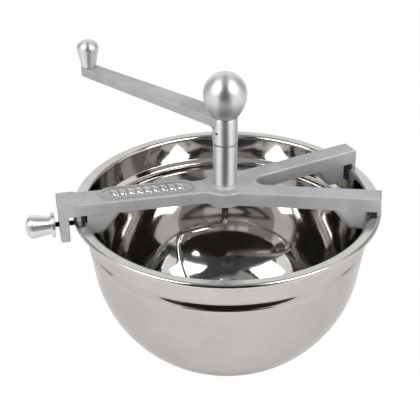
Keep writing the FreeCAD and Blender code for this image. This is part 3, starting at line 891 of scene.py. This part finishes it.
@dataclass
class Grip:
    """Crank handle that turns on its screw at the end of the crank arm; millimetres."""

    place: tuple[float, float] = GRIP_PLACE
    arm_top: float = RIM_Z + 82.6
    arm_low: float = RIM_Z + 74.0
    gap: float = 0.25
    base_r: float = 6.8
    base_edge: float = 0.5
    shoulder_r: float = 10.8
    shoulder: float = 22.1
    height: float = 26.8
    crown: float = 6.5
    head_r: float = 4.5
    head: float = 2.0
    head_edge: float = 0.4
    head_back: float = 0.2
    shank_r: float = 3.0
    thread_r: float = 2.5
    thread: float = 15.0
    thread_edge: float = 0.5
    socket_r: float = 2.2
    socket: float = 1.3
    socket_land: float = 0.3
    socket_sides: int = 6

    def build(self) -> None:
        """Build the handle and its screw, and dress the washer."""
        handle = shown("crank_grip", self.moved(self.handle()), [TURNED_HANDLE])
        hand_over(handle, Body.GRIP, Slot.TURNED_ALUMINIUM, "crank_handle")
        screw = shown("grip_screw", self.moved(self.screw()), [ZINC])
        hand_over(screw, Body.GRIP, Slot.PLAIN_STEEL, "handle_screw")
        washer = shown("grip_washer", cad_copy("handle_washer"), [ZINC])
        hand_over(washer, Body.GRIP, Slot.PLAIN_STEEL, "handle_washer")

    def moved(self, mesh: BMesh) -> BMesh:
        """Move a turned mesh from the Z axis to the end of the arm.

        Args:
            mesh: Mesh about the Z axis.

        Returns:
            The same mesh.
        """
        bmesh.ops.translate(mesh, verts=mesh.verts, vec=Vector((*self.place, 0.0)) * MM)
        return mesh

    def handle(self) -> BMesh:
        """Pear-shaped grip.

        Returns:
            Mesh of the grip about the Z axis.
        """
        base = self.arm_top + self.gap
        shoulder = self.arm_top + self.shoulder
        route = profile((0.0, base))
        halfway = ((self.base_r + self.shoulder_r) / 2, (base + shoulder) / 2)
        route.trace([(self.base_r, base, self.base_edge), (*halfway, 0.0)])
        route.dome((self.shoulder_r, shoulder), self.arm_top + self.height, self.crown)
        turn_round(route.mesh, steps=72)
        lathe_map(route.mesh, (0.0, 0.0, self.arm_top + self.shoulder / 2))
        return route.mesh

    def screw(self) -> BMesh:
        """Shoulder screw with a six-sided socket in its head.

        Returns:
            Mesh of the screw about the Z axis.
        """
        low = self.arm_low
        base = self.arm_top + self.gap
        end = base + self.thread
        route = profile((self.socket_r + self.socket_land, low))
        route.trace(
            [
                (self.head_r, low, self.head_edge),
                (self.head_r, low + self.head, self.head_back),
                (self.shank_r, low + self.head, 0.0),
                (self.shank_r, base, 0.0),
                (self.thread_r, base, 0.0),
                (self.thread_r, end, self.thread_edge),
                (0.0, end, 0.0),
            ]
        )
        mesh = route.mesh
        turn_round(mesh, steps=48)
        rim = [edge for edge in mesh.edges if edge.is_boundary]
        matrix = Matrix.Translation((0.0, 0.0, low * MM))
        made = bmesh.ops.create_circle(
            mesh, segments=self.socket_sides, radius=self.socket_r * MM, matrix=matrix
        )
        ring = set(made["verts"])
        socket = [edge for edge in mesh.edges if ring.issuperset(edge.verts)]
        bmesh.ops.bridge_loops(mesh, edges=rim + socket)
        deep = bmesh.ops.extrude_edge_only(mesh, edges=socket)["geom"]
        verts = [item for item in deep if isinstance(item, BMVert)]
        bmesh.ops.translate(mesh, verts=verts, vec=(0.0, 0.0, self.socket * MM))
        bmesh.ops.contextual_create(mesh, geom=verts)
        weld(mesh)
        return mesh


@dataclass
class Clamp:
    """Thumb screw with its thread, and the shoe on its tip; millimetres along -X."""

    axis_z: float = THUMB_AXIS_Z
    knob_x: float = -155.2
    shoe_x: float = -128.7
    stud_x: float = -130.25
    stud_length: float = 38.95
    thread_length: float = 27.2
    thread_steps: int = 24
    pitch: float = 0.8
    flank: float = 0.32
    crest: float = 0.096
    crest_r: float = 2.48
    root_r: float = 2.05
    core_share: float = 0.99
    flange_r: float = 11.5
    flange: float = 3.2
    flange_edge: float = 0.5
    flange_back: float = 0.7
    neck_r: float = 8.0
    neck_fillet: float = 1.0
    shoulder_r: float = 11.2
    shoulder: float = 21.6
    length: float = 26.1
    crown: float = 6.0
    shoe_r: float = 3.5
    shoe_nose: float = 1.2
    shoe_length: float = 3.5
    shoe_edge: float = 0.4
    shoe_lip: float = 0.3
    shoe_floor: float = 1.5
    socket_r: float = 2.55

    def build(self) -> None:
        """Build the knob, the threaded stud and the shoe."""
        knob = shown("thumb_knob", self.laid(self.knob(), self.knob_x), [TURNED_THUMB])
        hand_over(knob, Body.THUMB_SCREW, Slot.TURNED_ALUMINIUM, "clamp_knob")
        stud = shown("threaded_stud", self.laid(self.stud(), self.stud_x), [BLACK_OXIDE])
        hand_over(stud, Body.THUMB_SCREW, Slot.BLACK_STEEL, "clamp_stud")
        shoe = shown("pressure_shoe", self.laid(self.shoe(), self.shoe_x), [ZINC])
        hand_over(shoe, Body.SHOE, Slot.PLAIN_STEEL, "clamp_shoe")

    def laid(self, mesh: BMesh, x: float) -> BMesh:
        """Lay a turned mesh from the Z axis along -X.

        Args:
            mesh: Mesh about the Z axis.
            x: Place of its base along X.

        Returns:
            The same mesh.
        """
        over = Matrix.Rotation(math.radians(-90.0), 3, "Y")
        bmesh.ops.rotate(mesh, verts=mesh.verts, cent=(0.0, 0.0, 0.0), matrix=over)
        bmesh.ops.translate(mesh, verts=mesh.verts, vec=Vector((x, 0.0, self.axis_z)) * MM)
        return mesh

    def knob(self) -> BMesh:
        """Turned knob: flange, neck and rounded grip.

        Returns:
            Mesh of the knob about the Z axis.
        """
        route = profile((0.0, 0.0))
        route.trace(
            [
                (self.flange_r, 0.0, self.flange_edge),
                (self.flange_r, self.flange, self.flange_back),
                (self.neck_r, self.flange, self.neck_fillet),
                ((self.neck_r + self.shoulder_r) / 2, (self.flange + self.shoulder) / 2, 0.0),
            ]
        )
        route.dome((self.shoulder_r, self.shoulder), self.length, self.crown)
        turn_round(route.mesh, steps=72)
        lathe_map(route.mesh, (0.0, 0.0, self.length / 2))
        return route.mesh

    def stud(self) -> BMesh:
        """Core with a helical thread round it.

        Returns:
            Mesh of the stud about the Z axis.
        """
        route = profile((self.root_r, 0.0))
        route.trace(
            [
                (self.crest_r, self.flank, 0.0),
                (self.crest_r, self.flank + self.crest, 0.0),
                (self.root_r, 2 * self.flank + self.crest, 0.0),
                (self.root_r, self.pitch, 0.0),
            ]
        )
        mesh = route.mesh
        turn_round(mesh, self.thread_steps, int(self.thread_length / self.pitch), self.pitch)
        core = self.root_r * self.core_share * MM
        bmesh.ops.create_cone(
            mesh,
            cap_ends=True,
            segments=48,
            radius1=core,
            radius2=core,
            depth=self.stud_length * MM,
            matrix=Matrix.Translation((0.0, 0.0, self.stud_length / 2 * MM)),
        )
        return mesh

    def shoe(self) -> BMesh:
        """Cap with a tapered nose and a socket for the stud.

        Returns:
            Mesh of the shoe about the Z axis.
        """
        route = profile((0.0, 0.0))
        route.trace(
            [
                (self.shoe_r - self.shoe_nose, 0.0, self.shoe_edge),
                (self.shoe_r, self.shoe_nose, self.shoe_edge),
                (self.shoe_r, self.shoe_length, self.shoe_lip),
                (self.socket_r, self.shoe_length, 0.0),
                (self.socket_r, self.shoe_floor, 0.0),
                (0.0, self.shoe_floor, 0.0),
            ]
        )
        turn_round(route.mesh, steps=48)
        return route.mesh


@dataclass(frozen=True)
class FloorFinish:
    """Pale floor that is nearly white to the camera and keeps the shadow.

    Attributes:
        colour: Colour where light falls on it.
        camera: Share of plain white that the camera sees.
        mirror: Share of plain white in reflections.
    """

    colour: tuple[float, float, float] = (0.58, 0.576, 0.572)
    camera: float = 0.97
    mirror: float = 0.2

    def material(self) -> Material:
        """Build the node material of the floor.

        Returns:
            The material.
        """
        material = bpy.data.materials.new("pale_floor")
        sheet = NodeSheet(material)
        matt = sheet.add("ShaderNodeBsdfDiffuse", color=(*self.colour, 1.0))
        glow = sheet.add("ShaderNodeEmission", color=WHITE, strength=1.0)
        sheet.show(sheet.by_ray(matt.outputs["BSDF"], glow.outputs["Emission"], self.camera, self.mirror))
        return material


@dataclass(frozen=True)
class CardFinish:
    """Matt dark card, which may give off some light.

    Attributes:
        colour: Colour of the card.
        glow: Light that it gives off.
    """

    colour: tuple[float, float, float] = (0.02, 0.02, 0.02)
    glow: float = 0.0

    def material(self) -> Material:
        """Build the node material of the card.

        Returns:
            The material.
        """
        material = bpy.data.materials.new("dark_card")
        sheet = NodeSheet(material)
        shader = sheet.add("ShaderNodeBsdfPrincipled", base_color=(*self.colour, 1.0), roughness=1.0)
        shader.inputs["Specular IOR Level"].default_value = 0.0
        shader.inputs["Emission Color"].default_value = WHITE
        shader.inputs["Emission Strength"].default_value = self.glow
        sheet.show(shader.outputs["BSDF"])
        return material


ROOM_WALLS = CardFinish((0.02, 0.018, 0.016))
ROOM_CEILING = CardFinish(glow=0.38)
ROOM_WINGS = CardFinish(glow=0.4)
ROOM = [ROOM_WALLS, ROOM_CEILING, ROOM_WINGS]


@dataclass(frozen=True)
class Panel:
    """Flat lamp of the studio.

    Attributes:
        name: Name of the object.
        place: Its middle, in metres.
        width: Its width, in metres.
        height: Its height, in metres.
        power: Its power in watts.
        mirrored: Whether bright metal shows it.
    """

    name: str
    place: tuple[float, float, float]
    width: float
    height: float
    power: float
    mirrored: bool = True


LAMPS = (
    Panel("soft_left", (-0.948, -0.33, 1.255), 0.9, 0.5, 12.0),
    Panel("soft_right", (0.72, -0.7, 1.255), 0.9, 0.5, 12.0),
    Panel("front_fill", (-0.26, -1.36, 0.42), 0.8, 0.5, 14.0, mirrored=False),
)


@dataclass(frozen=True)
class DarkRoom:
    """Room that shows only in reflections: dark walls, grey ceiling and wings, and a dark part of the table.

    Attributes:
        radius: Distance from the object, in metres.
        middle: Height of the room's middle, in metres.
        heading: Direction of the camera as seen from the object, in degrees from +X.
        edge: Lower edge of the walls: turns from the camera's direction and elevations, in degrees.
        rows: Number of rows of faces below and above the ceiling's edge.
        ceiling: Elevation at which the grey ceiling starts, in degrees.
        table: Distances at which the dark part of the table starts and ends, in metres.
        table_z: Height of that part, in metres.
        spread: Half of its width at its two ends, in metres.
        wings: Turns at which a grey wing on either side has its columns, in degrees.
        wing_rows: Elevations of the wings' rows, in degrees.
    """

    radius: float = 2.4
    middle: float = 0.14
    heading: float = -100.8
    edge: tuple[tuple[float, float], ...] = (
        (0.0, -5.0), (14.0, -4.0), (28.0, 2.0), (46.0, 16.0), (58.0, 33.0), (66.0, 38.0), (86.0, 48.0),
        (120.0, 53.0), (180.0, 54.0)
    )
    rows: int = 4
    ceiling: float = 60.0
    table: tuple[float, float] = (0.5, 2.3)
    table_z: float = 0.001
    spread: tuple[float, float] = (0.3, 1.5)
    wings: tuple[float, ...] = (97.0, 112.0, 127.0, 142.0)
    wing_rows: tuple[float, ...] = (-2.0, 14.0, 30.0, 46.0)

    def mesh(self) -> BMesh:
        """Build the walls, the ceiling and the wings as parts of a sphere, and the part of the table.

        Returns:
            Open mesh round the object.
        """
        mesh = bmesh.new()
        around = [(-turn, low) for turn, low in reversed(self.edge)] + list(self.edge[1:])
        walls = [[self.point(turn, rise) for rise in self.steps(low, self.ceiling)] for turn, low in around]
        self.sheet(mesh, walls, ROOM_WALLS)
        ceiling = [[self.point(turn, rise) for rise in self.steps(self.ceiling, 90.0)] for turn, _ in around]
        self.sheet(mesh, ceiling, ROOM_CEILING)
        for side in (-1.0, 1.0):
            wing = [[self.point(side * turn, rise) for rise in self.wing_rows] for turn in self.wings]
            self.sheet(mesh, wing, ROOM_WINGS)
        ahead = Matrix.Rotation(math.radians(self.heading), 3, "Z")
        strip = [
            [ahead @ Vector((away, side * half, self.table_z)) for away, half in zip(self.table, self.spread)]
            for side in (-1.0, 1.0)
        ]
        self.sheet(mesh, strip, ROOM_WALLS)
        weld(mesh)
        return mesh

    @staticmethod
    def sheet(mesh: BMesh, columns: list[list[Vector]], finish: CardFinish) -> None:
        """Add faces between columns of corners.

        Args:
            mesh: Mesh that receives the faces.
            columns: Corners of each column.
            finish: Finish of the faces, one of the room's.
        """
        verts = [[mesh.verts.new(corner) for corner in column] for column in columns]
        for left, right in zip(verts, verts[1:]):
            for row in range(len(left) - 1):
                face = mesh.faces.new((left[row], right[row], right[row + 1], left[row + 1]))
                face.material_index = ROOM.index(finish)

    def steps(self, low: float, high: float) -> list[float]:
        """Even steps from one elevation to another."""
        return [low + (high - low) * row / self.rows for row in range(self.rows + 1)]

    def point(self, turn: float, elevation: float) -> Vector:
        """Give one corner of the room.

        Args:
            turn: Direction from the camera's, in degrees.
            elevation: Elevation of the corner, in degrees.

        Returns:
            Place of the corner, in metres.
        """
        rise = math.radians(elevation)
        way = math.radians(self.heading + turn)
        flat = self.radius * math.cos(rise)
        height = self.middle + self.radius * math.sin(rise)
        return Vector((flat * math.cos(way), flat * math.sin(way), height))


@dataclass
class Studio:
    """Floor, white surroundings, soft lamps and the room that bright metal shows; metres and watts."""

    floor_size: float = 6.0
    floor_gap: float = 0.0003
    fill: float = 0.9
    fill_colour: tuple[float, float, float, float] = (1.0, 0.99, 0.98, 1.0)
    aim: tuple[float, float, float] = (0.0, 0.0, 0.14)

    def build(self) -> None:
        """Set up the whole studio."""
        self.floor()
        self.surroundings()
        for panel in LAMPS:
            self.lamp(panel)
        self.dark_room()
        bpy.context.scene.view_settings.view_transform = "Standard"

    @staticmethod
    def stage_piece(name: str, mesh: BMesh, *materials: Material) -> Object:
        """Add a piece of the studio.

        Args:
            name: Name of the piece.
            mesh: Its mesh, which is freed.
            *materials: Its materials.

        Returns:
            The new object.
        """
        data = bpy.data.meshes.new(name)
        mesh.to_mesh(data)
        mesh.free()
        for material in materials:
            data.materials.append(material)
        piece = bpy.data.objects.new(name, data)
        bpy.context.scene.collection.objects.link(piece)
        return piece

    def floor(self) -> None:
        """Lay the pale floor just below the bowl."""
        mesh = bmesh.new()
        place = Matrix.Translation((0.0, 0.0, -self.floor_gap))
        bmesh.ops.create_grid(mesh, x_segments=1, y_segments=1, size=self.floor_size / 2, matrix=place)
        self.stage_piece("floor", mesh, FloorFinish().material())

    def surroundings(self) -> None:
        """Make the world white to the camera and in reflections, and a plain fill light elsewhere."""
        world = bpy.data.worlds.new("white_studio")
        bpy.context.scene.world = world
        sheet = NodeSheet(world)
        white = sheet.add("ShaderNodeBackground", color=WHITE, strength=1.0)
        soft = sheet.add("ShaderNodeBackground", color=self.fill_colour, strength=self.fill)
        surface = sheet.by_ray(
            soft.outputs["Background"], white.outputs["Background"], camera=1.0, mirror=1.0
        )
        sheet.show(surface, "ShaderNodeOutputWorld")

    def facing(self, place: tuple[float, float, float]) -> Matrix:
        """Turn a lamp towards the object.

        Args:
            place: Place of the lamp, in metres.

        Returns:
            Matrix at that place whose -Z looks at the object.
        """
        spot = Vector(place)
        turn = (Vector(self.aim) - spot).to_track_quat("-Z", "Y")
        return Matrix.Translation(spot) @ turn.to_matrix().to_4x4()

    def lamp(self, panel: Panel) -> None:
        """Add a soft lamp.

        Args:
            panel: Its name, place, size and power.
        """
        data = bpy.data.lights.new(panel.name, "AREA")
        data.shape = "RECTANGLE"
        data.size = panel.width
        data.size_y = panel.height
        data.energy = panel.power
        lamp = bpy.data.objects.new(panel.name, data)
        lamp.matrix_world = self.facing(panel.place)
        lamp.visible_glossy = panel.mirrored
        bpy.context.scene.collection.objects.link(lamp)

    def dark_room(self) -> None:
        """Add the dark room, which shows only in reflections."""
        room = self.stage_piece("dark_room", DarkRoom().mesh(), *(finish.material() for finish in ROOM))
        room.visible_camera = False
        room.visible_diffuse = False
        room.visible_shadow = False


@dataclass
class PhotoCamera:
    """Camera fitted to the bowl's rim: lens and sensor in millimetres, the rest in metres and degrees."""

    lens: float = 102.857
    sensor: float = 36.0
    target: tuple[float, float, float] = (BOWL_SHIFT * MM, 0.0, RIM_Z * MM)
    distance: float = 1.0924
    across: float = 0.01531
    up: float = 0.00946
    azimuth: float = -10.8
    elevation: float = 30.527
    roll: float = -0.384

    def build(self) -> None:
        """Create the camera and make it the scene's."""
        data = bpy.data.cameras.new("photo_camera")
        data.lens = self.lens
        data.sensor_width = self.sensor
        data.clip_start = 0.05
        data.clip_end = 40.0
        camera = bpy.data.objects.new("photo_camera", data)
        turn = Matrix.Rotation(math.radians(self.azimuth), 4, "Z")
        tilt = Matrix.Rotation(math.radians(90.0 - self.elevation), 4, "X")
        spin = Matrix.Rotation(math.radians(self.roll), 4, "Z")
        back = Matrix.Translation((-self.across, -self.up, self.distance))
        camera.matrix_world = Matrix.Translation(self.target) @ turn @ tilt @ spin @ back
        bpy.context.scene.collection.objects.link(camera)
        bpy.context.scene.camera = camera


def main() -> None:
    """Build every sub-assembly, the studio and the camera."""
    logging.basicConfig(level=logging.INFO, format="%(name)s %(message)s")
    for part in (Bowl(), Bridge(), Crank(), Grip(), Clamp(), Studio(), PhotoCamera()):
        part.build()
        LOG.info("%s done", type(part).__name__)


if __name__ == "__main__":
    main()
